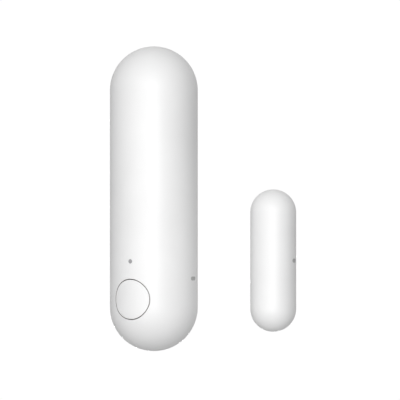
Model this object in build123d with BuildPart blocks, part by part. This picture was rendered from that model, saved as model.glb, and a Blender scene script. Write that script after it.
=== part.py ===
from build123d import *
import os

os.makedirs("parts", exist_ok=True)

# A door contact sensor: a battery-powered sensor and its separate magnet, each in a round-ended shell
# that an adhesive pad holds to the door frame or the door.
# Lengths are in millimetres. +X is to the right seen from the front, +Y points to the wall and +Z is up.
# "Forward" is the distance in front of a shell's own upright axis, so it is negative towards the wall.

# Outer form of the sensor, sized for a 17 x 34.5 mm cell
sensor_radius = 13.7
sensor_straight = 33.8  # half the length of the straight run between the round ends
sensor_wall = 1.6
sensor_opening = 10.5  # half width of the way in from the back
sensor_seam = -7.4  # forward position of the joint between front shell and rear cover
sensor_back = -8.7
pad_thickness = 0.8
sensor_pad_half_width = 8.5

# Outer form of the magnet
magnet_radius = 7.1
magnet_straight = 14.9
magnet_wall = 1.4
magnet_opening = 5.2
magnet_seam = -3.3
magnet_back = -4.3
magnet_pad_half_width = 3.6
magnet_x = 40.9
magnet_z = -19.1

sensor_centre = (0, sensor_back - pad_thickness, 0)
magnet_centre = (magnet_x, magnet_back - pad_thickness, magnet_z)

# Fits
wall_gap = 0.15  # between an inner part and the shell around it
peg_clearance = 0.03
screw_clearance = 0.03
slot_gap = 0.05  # round a metal strip in its plastic slot

# Rear covers
cover_step = 0.3  # how far a cover's plate stands into its shell
rim_height = 2.2
rim_thickness = 1.0
rim_gap = 0.2
seam_line = 0.15  # width and depth of the fine groove along the joint
peg_radius = 1.2
peg_reach = 4.1
peg_post_radius = 1.8
peg_posts = [(-4.8, 41.3), (4.8, 41.3), (-8.6, -36.0), (8.6, -36.0)]
magnet_peg_radius = 0.9
magnet_peg_reach = 2.6
magnet_post_radius = 1.45
magnet_peg_posts = [(0, 16.8), (0, -16.8)]
pry_width = 6.0
pry_depth = 0.8

# Alignment marks, one on the side of each shell that faces the other
sensor_mark_length = 3.2
magnet_mark_length = 2.7
mark_height = 1.2
mark_depth = 0.2
sensor_mark_z = -24.8
sensor_mark_start = -0.05  # how far behind the widest line it begins
magnet_mark_start = -0.2

# Button, its collar in the shell, and the status light's pipe
button_z = -31.2
button_radius = 6.12
button_gap = 0.26
button_wall = 1.0
button_top = 1.4
button_rear = 8.5
button_flange_radius = 7.3
button_flange = 0.8
button_edge = 0.08
collar_radius = 7.65
collar_rear = 9.4
stem_radius = 1.5
light_z = -19.4
pipe_tip_radius = 0.65
pipe_radius = 1.1
pipe_flange_radius = 1.7
pipe_rear = 6.0
pipe_collar_radius = 2.1
pipe_collar_rear = 8.0

# Circuit board and the screws that hold it and the battery carrier
board_rear = 4.0
board_thickness = 1.0
board_half_width = 9.6
board_top = -2.5
board_round_z = -33.8
screw_radius = 1.0
screw_length = 5.0
screw_head_radius = 1.9
screw_head_height = 1.3
screw_post_radius = 1.9
ear_thickness = 1.2
top_screw = (0, 41.8)
middle_screws = [(-7.2, -5.5), (7.2, -5.5)]
bottom_screw = (0, -41.0)

# Cell and carrier
cell_forward = 2.4
cell_radius = 8.5
cell_bottom = 3.0
cell_top = 37.5
cell_shoulder = 36.3
carrier_inner = 8.75
carrier_outer = 9.55
carrier_bottom = -1.8
carrier_floor = -0.6
carrier_roof = 37.85
carrier_top = 39.05
carrier_side_rear = -0.6
carrier_end_rear = -2.5
strip_thickness = 0.3
strip_front = 3.6
strip_rear = 1.2
strip_foot_bottom = -11.5
strip_foot_top = -9.5
strip_foot_inner = -7.4
positive_half = 4.0
negative_half = 5.0
tab_half_width = 1.5
tab_bottom = -6.5
spring_wire = 0.35
spring_radius = 3.6
spring_turns = 2.5

board_front = board_rear + board_thickness
ear_rear = board_rear - ear_thickness
sensor_inner = sensor_radius - sensor_wall
magnet_inner = magnet_radius - magnet_wall


def across(centre, forward):
    """The plane across a shell at a forward position, facing the front, with its origin on its axis."""
    x, y, z = centre
    return Plane(origin=(x, y - forward, z), x_dir=(1, 0, 0), z_dir=(0, -1, 0))


def capsule(centre, radius, straight):
    """A solid bar with round ends, upright on its centre."""
    with BuildPart() as bar:
        with BuildSketch(across(centre, 0)):
            SlotCenterToCenter(2 * straight, 2 * radius, rotation=90)
            with Locations((-radius, 0)):
                Rectangle(2 * radius, 2 * (straight + radius), mode=Mode.SUBTRACT)
        revolve(axis=Axis(centre, (0, 0, 1)))
    return bar.part


def block(centre, half_width, straight, rear, front):
    """A straight-sided block with the shell's round-ended outline, between two forward positions."""
    with BuildPart() as body:
        with BuildSketch(across(centre, rear)):
            SlotCenterToCenter(2 * straight, 2 * half_width, rotation=90)
        extrude(amount=front - rear)
    return body.part


def hollow(centre, radius, straight, opening, rear):
    """The space in a shell: round in front, and straight-sided to the rear so that it leaves the mould."""
    round_part = capsule(centre, radius, straight)
    through = block(centre, opening, straight, rear, radius)
    way_in = block(centre, opening, straight, rear, 0)
    with BuildPart() as space:
        add(round_part)
        add(through, mode=Mode.INTERSECT)
        add(way_in)
    return space.part


def seam_groove(centre, radius, straight, seam):
    """The fine groove round a front shell's rear edge."""
    edge_half_width = (radius**2 - seam**2) ** 0.5
    kept = block(centre, edge_half_width - seam_line, straight, seam, seam + seam_line)
    with BuildPart() as ring:
        with BuildSketch(across(centre, seam)):
            SlotCenterToCenter(2 * straight, 2 * radius, rotation=90)
        extrude(amount=seam_line)
        add(kept, mode=Mode.SUBTRACT)
    return ring.part


def pins(centre, points, radius, rear, front):
    """Round pins at points (x, z) from a centre, between two forward positions."""
    with BuildPart() as group:
        with BuildSketch(across(centre, rear)):
            with Locations(*points):
                Circle(radius)
        extrude(amount=front - rear)
    return group.part


def posts(centre, points, radius, rear, shell_radius, wall, straight):
    """Round posts that rise from a shell's front wall to a rear end, and stop inside that wall."""
    middle_of_wall = capsule(centre, shell_radius - wall / 2, straight)
    bars = pins(centre, points, radius, rear, shell_radius)
    with BuildPart() as group:
        add(bars)
        add(middle_of_wall, mode=Mode.INTERSECT)
    return group.part


def slab(low, high):
    """A rectangular block between two corners, with corners given as (x, forward, z) in the sensor."""
    x0, forward0, z0 = low
    x1, forward1, z1 = high
    with BuildPart() as body:
        with BuildSketch(across(sensor_centre, forward0)):
            with Locations(((x0 + x1) / 2, (z0 + z1) / 2)):
                Rectangle(x1 - x0, z1 - z0)
        extrude(amount=forward1 - forward0)
    return body.part


def upright(x, forward):
    """A plane through an upright line in the sensor, with its X axis to the right and its Y axis up."""
    return Plane(origin=(x, sensor_centre[1] - forward, 0), x_dir=(1, 0, 0), z_dir=(0, -1, 0))


def towards_front(x, z):
    """A plane through a front-to-back line in the sensor, with its Y axis forward."""
    return Plane(origin=(x, sensor_centre[1], z), x_dir=(1, 0, 0), z_dir=(0, 0, -1))


def turned(plane, profile):
    """A solid turned about a plane's Y axis from the points (radius, height) of its profile."""
    with BuildPart() as solid:
        with BuildSketch(plane):
            with BuildLine():
                Polyline(*profile, close=True)
            make_face()
        revolve(axis=Axis(plane.origin, plane.y_dir))
    return solid.part


def coil(plane, wire, radius, pitch, turns):
    """A wire wound about a plane's Z axis from its origin."""
    with BuildPart() as winding:
        with BuildLine():
            path = Helix(pitch, pitch * turns, radius, center=plane.origin, direction=plane.z_dir)
        with BuildSketch(Plane(origin=path @ 0, z_dir=path % 0)):
            Circle(wire)
        sweep(is_frenet=True)
    return winding.part


def side_mark(centre, radius, straight, start, length, z):
    """The pocket of an alignment mark, at an even depth in the shell's right-hand side."""
    x, y, _ = centre
    floor = capsule(centre, radius - mark_depth, straight)
    side = Plane(origin=(x, y + start + length / 2, z), x_dir=(0, 1, 0), z_dir=(1, 0, 0))
    with BuildPart() as pocket:
        with BuildSketch(side):
            SlotOverall(length, mark_height)
        extrude(amount=radius + 1)
        add(floor, mode=Mode.SUBTRACT)
    return pocket.part


def chip_row(points, length, width, height, surface, outwards):
    """Rectangular chips on a face of the board, at points (x, z), that stand forward or back from it."""
    with BuildPart() as chips:
        with BuildSketch(across(sensor_centre, surface)):
            with Locations(*points):
                Rectangle(length, width)
        extrude(amount=outwards * height)
    return chips.part


sensor_outer = capsule(sensor_centre, sensor_radius, sensor_straight)
sensor_hollow = hollow(sensor_centre, sensor_inner, sensor_straight, sensor_opening, sensor_seam - 1)
sensor_room = hollow(
    sensor_centre, sensor_inner - wall_gap, sensor_straight, sensor_opening - wall_gap, sensor_seam
)
magnet_outer = capsule(magnet_centre, magnet_radius, magnet_straight)
magnet_hollow = hollow(magnet_centre, magnet_inner, magnet_straight, magnet_opening, magnet_seam - 1)
sensor_seam_groove = seam_groove(sensor_centre, sensor_radius, sensor_straight, sensor_seam)
magnet_seam_groove = seam_groove(magnet_centre, magnet_radius, magnet_straight, magnet_seam)
button_point = [(0, button_z)]
light_point = [(0, light_z)]


# ---- Front shell of the sensor ----
def sensor_posts(points, radius, rear):
    """Posts in the sensor's front shell."""
    return posts(sensor_centre, points, radius, rear, sensor_radius, sensor_wall, sensor_straight)


peg_post_rear = sensor_seam + 0.5
peg_hole_end = sensor_seam + 0.3 + peg_reach + 0.5
sensor_mark = side_mark(
    sensor_centre,
    sensor_radius,
    sensor_straight,
    sensor_mark_start,
    sensor_mark_length,
    sensor_mark_z,
)
shell_additions = [
    sensor_posts(peg_posts, peg_post_radius, peg_post_rear),
    sensor_posts([top_screw], screw_post_radius, board_rear),
    sensor_posts([*middle_screws, bottom_screw], screw_post_radius, board_front),
    sensor_posts(button_point, collar_radius, collar_rear),
    sensor_posts(light_point, pipe_collar_radius, pipe_collar_rear),
]
screw_hole = screw_radius + screw_clearance
screw_room = screw_length + 0.4
shell_removals = [
    pins(sensor_centre, peg_posts, peg_radius + peg_clearance, peg_post_rear - 1, peg_hole_end),
    pins(sensor_centre, [top_screw, *middle_screws], screw_hole, ear_rear, ear_rear + screw_room),
    pins(sensor_centre, [bottom_screw], screw_hole, board_rear, board_rear + screw_room),
    pins(sensor_centre, button_point, button_radius + button_gap, button_rear, sensor_radius + 1),
    pins(sensor_centre, light_point, pipe_radius + slot_gap, pipe_rear, sensor_inner + slot_gap),
    pins(sensor_centre, light_point, pipe_tip_radius + slot_gap, pipe_rear, sensor_radius + 1),
    sensor_mark,
]
with BuildPart() as front_shell:
    add(sensor_outer)
    split(bisect_by=across(sensor_centre, sensor_seam), keep=Keep.TOP)
    add(sensor_seam_groove, mode=Mode.SUBTRACT)
    add(sensor_hollow, mode=Mode.SUBTRACT)
    for addition in shell_additions:
        add(addition)
    for removal in shell_removals:
        add(removal, mode=Mode.SUBTRACT)
front_shell.part.label = "front_shell"
export_step(front_shell.part, "parts/front_shell.step")


# ---- Rear covers, which stay on the wall with their pads ----
def rear_cover_of(centre, outer, straight, opening, seam, back, rim, post_points, post_radius, peg, reach):
    """A rear cover: the last slice of the capsule, a locating rim and the pegs that grip the front shell."""
    step = seam + cover_step
    slice_box = block(centre, 3 * opening, 2 * straight, back, seam)
    plug = block(centre, opening - rim_gap, straight, seam - 0.5, step)
    rim_outside = block(centre, opening - rim_gap, straight, seam, step + rim)
    rim_inside = block(centre, opening - rim_gap - rim_thickness, straight, step, step + rim)
    notches = pins(centre, post_points, post_radius + 0.3, step, step + rim)
    pegs = pins(centre, post_points, peg, seam, step + reach)
    with BuildPart() as cover:
        add(outer)
        add(slice_box, mode=Mode.INTERSECT)
        add(rim_outside)
        add(rim_inside, mode=Mode.SUBTRACT)
        add(notches, mode=Mode.SUBTRACT)
        add(plug)
        add(pegs)
    return cover.part


sensor_cover_body = rear_cover_of(
    sensor_centre,
    sensor_outer,
    sensor_straight,
    sensor_opening,
    sensor_seam,
    sensor_back,
    rim_height,
    peg_posts,
    peg_post_radius,
    peg_radius,
    peg_reach,
)
lowest = -sensor_straight - sensor_radius
pry_slot = slab(
    (-pry_width / 2, sensor_seam - pry_depth, lowest),
    (pry_width / 2, sensor_seam, -sensor_straight - sensor_opening - rim_gap),
)
with BuildPart() as rear_cover:
    add(sensor_cover_body)
    add(pry_slot, mode=Mode.SUBTRACT)
rear_cover.part.label = "rear_cover"
export_step(rear_cover.part, "parts/rear_cover.step")

magnet_cover_body = rear_cover_of(
    magnet_centre,
    magnet_outer,
    magnet_straight,
    magnet_opening,
    magnet_seam,
    magnet_back,
    1.2,
    magnet_peg_posts,
    magnet_post_radius,
    magnet_peg_radius,
    magnet_peg_reach,
)
with BuildPart() as magnet_rear_cover:
    add(magnet_cover_body)
magnet_rear_cover.part.label = "magnet_rear_cover"
export_step(magnet_rear_cover.part, "parts/magnet_rear_cover.step")

# ---- Adhesive pads and the foam behind the cell ----
pad_rear = sensor_back - pad_thickness
with BuildPart() as sensor_adhesive_pad:
    with BuildSketch(across(sensor_centre, pad_rear)):
        SlotCenterToCenter(2 * sensor_straight, 2 * sensor_pad_half_width, rotation=90)
    extrude(amount=pad_thickness)
sensor_adhesive_pad.part.label = "sensor_adhesive_pad"
export_step(sensor_adhesive_pad.part, "parts/sensor_adhesive_pad.step")

with BuildPart() as magnet_adhesive_pad:
    with BuildSketch(across(magnet_centre, magnet_back - pad_thickness)):
        SlotCenterToCenter(2 * magnet_straight, 2 * magnet_pad_half_width, rotation=90)
    extrude(amount=pad_thickness)
magnet_adhesive_pad.part.label = "magnet_adhesive_pad"
export_step(magnet_adhesive_pad.part, "parts/magnet_adhesive_pad.step")

foam_rear = sensor_seam + cover_step
foam_front = cell_forward - cell_radius - 0.1
foam_half_width = 4.0
foam_half_length = 10.0
cell_middle = (cell_bottom + cell_top) / 2
with BuildPart() as cell_foam_pad:
    with BuildSketch(across(sensor_centre, foam_rear)):
        with Locations((0, cell_middle)):
            RectangleRounded(2 * foam_half_width, 2 * foam_half_length, 1.0)
    extrude(amount=foam_front - foam_rear)
cell_foam_pad.part.label = "cell_foam_pad"
export_step(cell_foam_pad.part, "parts/cell_foam_pad.step")

# ---- Button cap: its top follows the shell, and a flange behind the collar keeps it in ----
button_space = capsule(sensor_centre, sensor_radius - button_top, sensor_straight)
button_core = pins(sensor_centre, button_point, button_radius - button_wall, button_rear, sensor_radius)
plunger_top = 9.3
with BuildPart() as button_core_trimmed:
    add(button_core)
    add(button_space, mode=Mode.INTERSECT)
with BuildPart() as button_cap:
    with BuildSketch(across(sensor_centre, button_rear)):
        with Locations(*button_point):
            Circle(button_radius)
    extrude(amount=sensor_radius)
    add(sensor_outer, mode=Mode.INTERSECT)
    fillet(button_cap.faces().sort_by(Axis.Y)[0].edges(), button_edge)
    add(button_core_trimmed.part, mode=Mode.SUBTRACT)
    with BuildSketch(across(sensor_centre, button_rear)):
        with Locations(*button_point):
            Circle(button_flange_radius)
            Circle(button_radius - button_wall, mode=Mode.SUBTRACT)
    extrude(amount=button_flange)
    with BuildSketch(across(sensor_centre, plunger_top + 0.02)):
        with Locations(*button_point):
            Circle(stem_radius)
    extrude(amount=sensor_radius - button_top / 2 - plunger_top)
button_cap.part.label = "button_cap"
export_step(button_cap.part, "parts/button_cap.step")

# ---- Light pipe from the status light to the shell's surface ----
pipe_profile = [
    (0, pipe_rear),
    (pipe_radius, pipe_rear),
    (pipe_radius, pipe_collar_rear - 0.6),
    (pipe_flange_radius, pipe_collar_rear - 0.6),
    (pipe_flange_radius, pipe_collar_rear - 0.05),
    (pipe_radius, pipe_collar_rear - 0.05),
    (pipe_radius, sensor_inner - 0.1),
    (pipe_tip_radius, sensor_inner - 0.1),
    (pipe_tip_radius, sensor_radius + 1),
    (0, sensor_radius + 1),
]
pipe_body = turned(towards_front(0, light_z), pipe_profile)
with BuildPart() as light_pipe:
    add(pipe_body)
    add(sensor_outer, mode=Mode.INTERSECT)
light_pipe.part.label = "light_pipe"
export_step(light_pipe.part, "parts/light_pipe.step")


# ---- Battery carrier: a trough for the cell with end walls and three screw ears ----
def trough(radius, rear, bottom, top):
    """A block with the trough's outline seen from above, round before the cell's axis and straight behind."""
    straight = cell_forward - rear
    with BuildPart() as body:
        with BuildSketch(Plane.XY.offset(bottom)):
            with Locations((0, sensor_centre[1] - cell_forward)):
                Circle(radius)
                with Locations((0, radius)):
                    Rectangle(2 * radius, 2 * radius, mode=Mode.SUBTRACT)
                with Locations((0, straight / 2)):
                    Rectangle(2 * radius, straight)
        extrude(amount=top - bottom)
    return body.part


ear_bottom = -7.6
top_ear_half_width = 2.3
carrier_additions = [
    trough(carrier_outer, carrier_side_rear, carrier_bottom, carrier_top),
    trough(carrier_outer, carrier_end_rear, carrier_bottom, carrier_floor),
    trough(carrier_outer, carrier_end_rear, carrier_roof, carrier_top),
]
cell_room = trough(carrier_inner, sensor_seam, carrier_floor, carrier_roof)
ears = [
    slab((-9.2, ear_rear, ear_bottom), (-5.2, board_rear, carrier_bottom)),
    slab((5.2, ear_rear, ear_bottom), (9.2, board_rear, carrier_bottom)),
    slab(
        (-top_ear_half_width, ear_rear, carrier_top),
        (top_ear_half_width, board_rear, sensor_straight + sensor_opening),
    ),
]
strip_x = -carrier_outer
strip_groove = slab(
    (strip_x - 1, strip_rear - slot_gap, carrier_bottom),
    (strip_x + strip_thickness + slot_gap, strip_front + slot_gap, carrier_top),
)
strip_window = slab(
    (strip_x - 1, strip_rear - slot_gap, carrier_roof - strip_thickness - slot_gap),
    (0, strip_front + slot_gap, carrier_roof),
)
tab_slot = slab(
    (-tab_half_width - slot_gap, board_rear - strip_thickness - slot_gap, carrier_bottom),
    (tab_half_width + slot_gap, board_rear + slot_gap, carrier_floor),
)
ear_holes = pins(
    sensor_centre, [top_screw, *middle_screws], screw_radius + 0.15, ear_rear, board_rear
)
with BuildPart() as battery_carrier:
    for addition in carrier_additions:
        add(addition)
    add(cell_room, mode=Mode.SUBTRACT)
    for ear in ears:
        add(ear)
    add(sensor_room, mode=Mode.INTERSECT)
    for removal in [strip_groove, strip_window, tab_slot, ear_holes]:
        add(removal, mode=Mode.SUBTRACT)
battery_carrier.part.label = "battery_carrier"
export_step(battery_carrier.part, "parts/battery_carrier.step")

# ---- Battery contacts ----
positive_slabs = [
    slab(
        (-positive_half, cell_forward - positive_half, carrier_roof - strip_thickness),
        (positive_half, cell_forward + positive_half, carrier_roof),
    ),
    slab(
        (strip_x, strip_rear, carrier_roof - strip_thickness),
        (-positive_half, strip_front, carrier_roof),
    ),
    slab(
        (strip_x, strip_rear, strip_foot_bottom),
        (strip_x + strip_thickness, strip_front, carrier_roof),
    ),
    slab(
        (strip_x, strip_rear, strip_foot_bottom),
        (strip_x + strip_thickness, board_rear, strip_foot_top),
    ),
    slab(
        (strip_x, board_rear - strip_thickness, strip_foot_bottom),
        (strip_foot_inner, board_rear, strip_foot_top),
    ),
]
with BuildPart() as positive_contact:
    for piece in positive_slabs:
        add(piece)
positive_contact.part.label = "positive_contact"
export_step(positive_contact.part, "parts/positive_contact.step")

negative_slabs = [
    slab(
        (-negative_half, cell_forward - negative_half, carrier_floor),
        (negative_half, cell_forward + negative_half, carrier_floor + strip_thickness),
    ),
    slab(
        (-tab_half_width, board_rear - strip_thickness, tab_bottom),
        (tab_half_width, board_rear, carrier_floor),
    ),
]
with BuildPart() as negative_contact:
    for piece in negative_slabs:
        add(piece)
negative_contact.part.label = "negative_contact"
export_step(negative_contact.part, "parts/negative_contact.step")

spring_start = carrier_floor + strip_thickness + spring_wire
spring_height = cell_bottom - spring_wire - spring_start
spring_plane = Plane(origin=(0, sensor_centre[1] - cell_forward, spring_start), z_dir=(0, 0, 1))
spring_winding = coil(
    spring_plane, spring_wire, spring_radius, spring_height / spring_turns, spring_turns
)
with BuildPart() as negative_spring:
    add(spring_winding)
negative_spring.part.label = "negative_spring"
export_step(negative_spring.part, "parts/negative_spring.step")

# ---- Cell ----
can_radius = 8.35
can_wall = 0.3
sleeve_gap = 0.02
cap_radius = 5.4
nub_radius = 3.2
cap_sheet = 0.4
lip_radius = 6.6
gasket_bottom = 35.0
cap_bottom = 35.2
cap_flange = 35.7
roll_radius = 7.6
roll_core = 1.8
roll_bottom = 4.0
roll_top = 34.2
cell_plane = upright(0, cell_forward)
cell_profiles = {
    "cell_can": [
        (0, cell_bottom),
        (can_radius, cell_bottom),
        (can_radius, cell_shoulder),
        (lip_radius, cell_shoulder),
        (lip_radius, cell_shoulder - can_wall),
        (can_radius - can_wall, cell_shoulder - can_wall),
        (can_radius - can_wall, cell_bottom + can_wall),
        (0, cell_bottom + can_wall),
    ],
    "cell_sleeve": [
        (can_radius + sleeve_gap, cell_bottom),
        (cell_radius, cell_bottom),
        (cell_radius, cell_shoulder + 0.15),
        (lip_radius + 0.6, cell_shoulder + 0.15),
        (lip_radius + 0.6, cell_shoulder + sleeve_gap),
        (can_radius + sleeve_gap, cell_shoulder + sleeve_gap),
    ],
    "cell_gasket": [
        (cap_radius + sleeve_gap, gasket_bottom),
        (can_radius - can_wall - sleeve_gap, gasket_bottom),
        (can_radius - can_wall - sleeve_gap, cell_shoulder - can_wall - sleeve_gap),
        (cap_radius + sleeve_gap, cell_shoulder - can_wall - sleeve_gap),
    ],
    "cell_positive_cap": [
        (0, cell_top),
        (nub_radius, cell_top),
        (nub_radius, cap_flange),
        (cap_radius, cap_flange),
        (cap_radius, cap_bottom),
        (nub_radius - cap_sheet, cap_bottom),
        (nub_radius - cap_sheet, cell_top - cap_sheet),
        (0, cell_top - cap_sheet),
    ],
    "cell_electrode_roll": [
        (roll_core, roll_bottom),
        (roll_radius, roll_bottom),
        (roll_radius, roll_top),
        (roll_core, roll_top),
    ],
}
for name, profile in cell_profiles.items():
    turned_piece = turned(cell_plane, profile)
    turned_piece.label = name
    export_step(turned_piece, f"parts/{name}.step")

# ---- Screws: four alike, with cross recesses, that hold the board and the carrier ----
recess_length = 2.2
recess_width = 0.5
recess_depth = 0.7
with BuildPart() as screw:
    with BuildSketch(Plane.XY):
        with BuildLine():
            Polyline(
                (0, screw_head_height),
                (screw_head_radius, screw_head_height),
                (screw_head_radius, 0),
                (screw_radius, 0),
                (screw_radius, -screw_length + screw_radius / 2),
                (screw_radius / 2, -screw_length),
                (0, -screw_length),
                close=True,
            )
        make_face()
    revolve(axis=Axis.Y)
    fillet(screw.edges().sort_by(Axis.Y)[-1], screw_head_height / 2)
    with BuildSketch(Plane(origin=(0, screw_head_height, 0), x_dir=(1, 0, 0), z_dir=(0, 1, 0))):
        Rectangle(recess_length, recess_width)
        Rectangle(recess_width, recess_length)
    extrude(amount=-recess_depth, mode=Mode.SUBTRACT)
screw_seats = [
    (x, sensor_centre[1] - seat, z)
    for (x, z), seat in [
        (top_screw, ear_rear),
        (middle_screws[0], ear_rear),
        (middle_screws[1], ear_rear),
        (bottom_screw, board_rear),
    ]
]
with BuildPart() as chassis_screws:
    with Locations(*screw_seats):
        add(screw.part)
chassis_screws.part.label = "chassis_screws"
export_step(chassis_screws.part, "parts/chassis_screws.step")

# ---- Reed switch, upright behind the board beside the magnet ----
reed_x = 8.0
reed_forward = 2.6
reed_half_length = 5.0
reed_glass_radius = 1.0
reed_bore = 0.75
reed_seal = 1.0
reed_lead_radius = 0.25
reed_lead_reach = 7.7
reed_lead_tip = board_front + 0.6
blade_width = 0.6
blade_thickness = 0.15
blade_gap = 0.03
blade_overlap = 0.6
reed_z = sensor_mark_z
seal_inner = reed_half_length - reed_seal
glass_profile = [
    (reed_lead_radius + 0.01, reed_z - reed_half_length),
    (reed_glass_radius - 0.3, reed_z - reed_half_length),
    (reed_glass_radius, reed_z - reed_half_length + 0.3),
    (reed_glass_radius, reed_z + reed_half_length - 0.3),
    (reed_glass_radius - 0.3, reed_z + reed_half_length),
    (reed_lead_radius + 0.01, reed_z + reed_half_length),
    (reed_lead_radius + 0.01, reed_z + seal_inner),
    (reed_bore, reed_z + seal_inner - 0.3),
    (reed_bore, reed_z - seal_inner + 0.3),
    (reed_lead_radius + 0.01, reed_z - seal_inner),
]
reed_tube = turned(upright(reed_x, reed_forward), glass_profile)
with BuildPart() as reed_glass:
    add(reed_tube)
reed_glass.part.label = "reed_glass"
export_step(reed_glass.part, "parts/reed_glass.step")


def reed_lead(side):
    """A round lead from just inside a glass seal to its hole in the board; side is +1 for the upper lead."""
    inner_end = reed_z + side * (seal_inner - 0.1)
    outer_end = reed_z + side * reed_lead_reach
    behind = sensor_centre[1] - reed_forward
    with BuildPart() as lead:
        with BuildLine():
            path = FilletPolyline(
                (reed_x, behind, inner_end),
                (reed_x, behind, outer_end),
                (reed_x, sensor_centre[1] - reed_lead_tip, outer_end),
                radius=0.5,
            )
        with BuildSketch(Plane(origin=path @ 0, z_dir=path % 0)):
            Circle(reed_lead_radius)
        sweep()
    return lead.part


blade_meet = reed_z + blade_overlap / 2
fixed_blade = slab(
    (reed_x - blade_width / 2, reed_forward, reed_z - seal_inner - 0.1),
    (reed_x + blade_width / 2, reed_forward + blade_thickness, blade_meet),
)
blade_root = reed_z + seal_inner - 0.15
moving_blade_front = reed_forward - blade_gap
moving_blade = slab(
    (reed_x - blade_width / 2, moving_blade_front - blade_thickness, reed_z - blade_overlap / 2),
    (reed_x + blade_width / 2, moving_blade_front, blade_root),
)
lower_lead = reed_lead(-1)
upper_lead = reed_lead(1)
with BuildPart() as reed_fixed_lead:
    add(lower_lead)
    add(fixed_blade)
reed_fixed_lead.part.label = "reed_fixed_lead"
export_step(reed_fixed_lead.part, "parts/reed_fixed_lead.step")

with BuildPart() as reed_moving_lead:
    add(upper_lead)
reed_moving_lead.part.label = "reed_moving_lead"
export_step(reed_moving_lead.part, "parts/reed_moving_lead.step")

with BuildPart() as reed_moving_blade:
    add(moving_blade)
reed_moving_blade.part.label = "reed_moving_blade"
export_step(reed_moving_blade.part, "parts/reed_moving_blade.step")

# ---- Circuit board ----
lead_holes = [(reed_x, reed_z - reed_lead_reach), (reed_x, reed_z + reed_lead_reach)]
board_length = board_top - board_round_z
with BuildPart() as circuit_board:
    with BuildSketch(across(sensor_centre, board_rear)):
        with Locations((0, board_round_z + board_length / 2)):
            Rectangle(2 * board_half_width, board_length)
        with Locations((0, board_round_z)):
            Circle(board_half_width)
        with Locations(*peg_posts):
            Circle(peg_post_radius + 0.3, mode=Mode.SUBTRACT)
        with Locations(*middle_screws, bottom_screw):
            Circle(screw_radius + 0.15, mode=Mode.SUBTRACT)
        with Locations(*lead_holes):
            Circle(reed_lead_radius + 0.1, mode=Mode.SUBTRACT)
    extrude(amount=board_thickness)
circuit_board.part.label = "circuit_board"
export_step(circuit_board.part, "parts/circuit_board.step")

# ---- Tactile switch under the button ----
switch_half = 3.0
switch_base_top = 8.15
switch_cover_top = 8.45
switch_floor = 6.4
switch_cavity = 2.4
plunger_radius = 1.7
plunger_hole = 1.8
plunger_flange_radius = 2.2
plunger_flange_top = 8.1
plunger_flange_bottom = 7.7
nub_bottom = 7.15
nub_switch_radius = 0.8
dome_base_radius = 2.1
dome_height = 0.7
dome_sheet = 0.1
terminal_reach = 4.4
terminal_z = 2.25
terminal_width = 0.7
terminal_sheet = 0.2
switch_plane = towards_front(0, button_z)
with BuildPart() as tact_switch_base:
    with BuildSketch(across(sensor_centre, board_front)):
        with Locations(*button_point):
            RectangleRounded(2 * switch_half, 2 * switch_half, 0.4)
    extrude(amount=switch_base_top - board_front)
    with BuildSketch(across(sensor_centre, switch_floor)):
        with Locations(*button_point):
            Circle(switch_cavity)
    extrude(amount=switch_base_top - switch_floor, mode=Mode.SUBTRACT)
tact_switch_base.part.label = "tact_switch_base"
export_step(tact_switch_base.part, "parts/tact_switch_base.step")

with BuildPart() as tact_switch_cover:
    with BuildSketch(across(sensor_centre, switch_base_top)):
        with Locations(*button_point):
            RectangleRounded(2 * switch_half, 2 * switch_half, 0.4)
            Circle(plunger_hole, mode=Mode.SUBTRACT)
    extrude(amount=switch_cover_top - switch_base_top)
tact_switch_cover.part.label = "tact_switch_cover"
export_step(tact_switch_cover.part, "parts/tact_switch_cover.step")

plunger_profile = [
    (0, plunger_top),
    (plunger_radius, plunger_top),
    (plunger_radius, plunger_flange_top),
    (plunger_flange_radius, plunger_flange_top),
    (plunger_flange_radius, plunger_flange_bottom),
    (nub_switch_radius, plunger_flange_bottom),
    (nub_switch_radius, nub_bottom),
    (0, nub_bottom),
]
tact_switch_plunger = turned(switch_plane, plunger_profile)
tact_switch_plunger.label = "tact_switch_plunger"
export_step(tact_switch_plunger, "parts/tact_switch_plunger.step")

dome_radius = (dome_base_radius**2 + dome_height**2) / (2 * dome_height)
dome_centre = switch_floor + dome_height - dome_radius
with BuildPart() as tact_switch_dome:
    with BuildSketch(switch_plane):
        with Locations((0, dome_centre)):
            Circle(dome_radius)
            Circle(dome_radius - dome_sheet, mode=Mode.SUBTRACT)
        with Locations((dome_radius / 2, switch_floor + dome_radius / 2)):
            Rectangle(dome_radius, dome_radius, mode=Mode.INTERSECT)
    revolve(axis=Axis(switch_plane.origin, switch_plane.y_dir))
tact_switch_dome.part.label = "tact_switch_dome"
export_step(tact_switch_dome.part, "parts/tact_switch_dome.step")

terminal_points = [
    (side * (switch_half + terminal_reach) / 2, button_z + row * terminal_z)
    for side in (-1, 1)
    for row in (-1, 1)
]
with BuildPart() as tact_switch_terminals:
    with BuildSketch(across(sensor_centre, board_front)):
        with Locations(*terminal_points):
            Rectangle(terminal_reach - switch_half, terminal_width)
    extrude(amount=terminal_sheet)
    with BuildSketch(across(sensor_centre, board_front)):
        for side in (-1, 1):
            with Locations(
                (side * (switch_half + terminal_sheet / 2), button_z - terminal_z),
                (side * (switch_half + terminal_sheet / 2), button_z + terminal_z),
            ):
                Rectangle(terminal_sheet, terminal_width)
    extrude(amount=1.6)
tact_switch_terminals.part.label = "tact_switch_terminals"
export_step(tact_switch_terminals.part, "parts/tact_switch_terminals.step")

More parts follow.
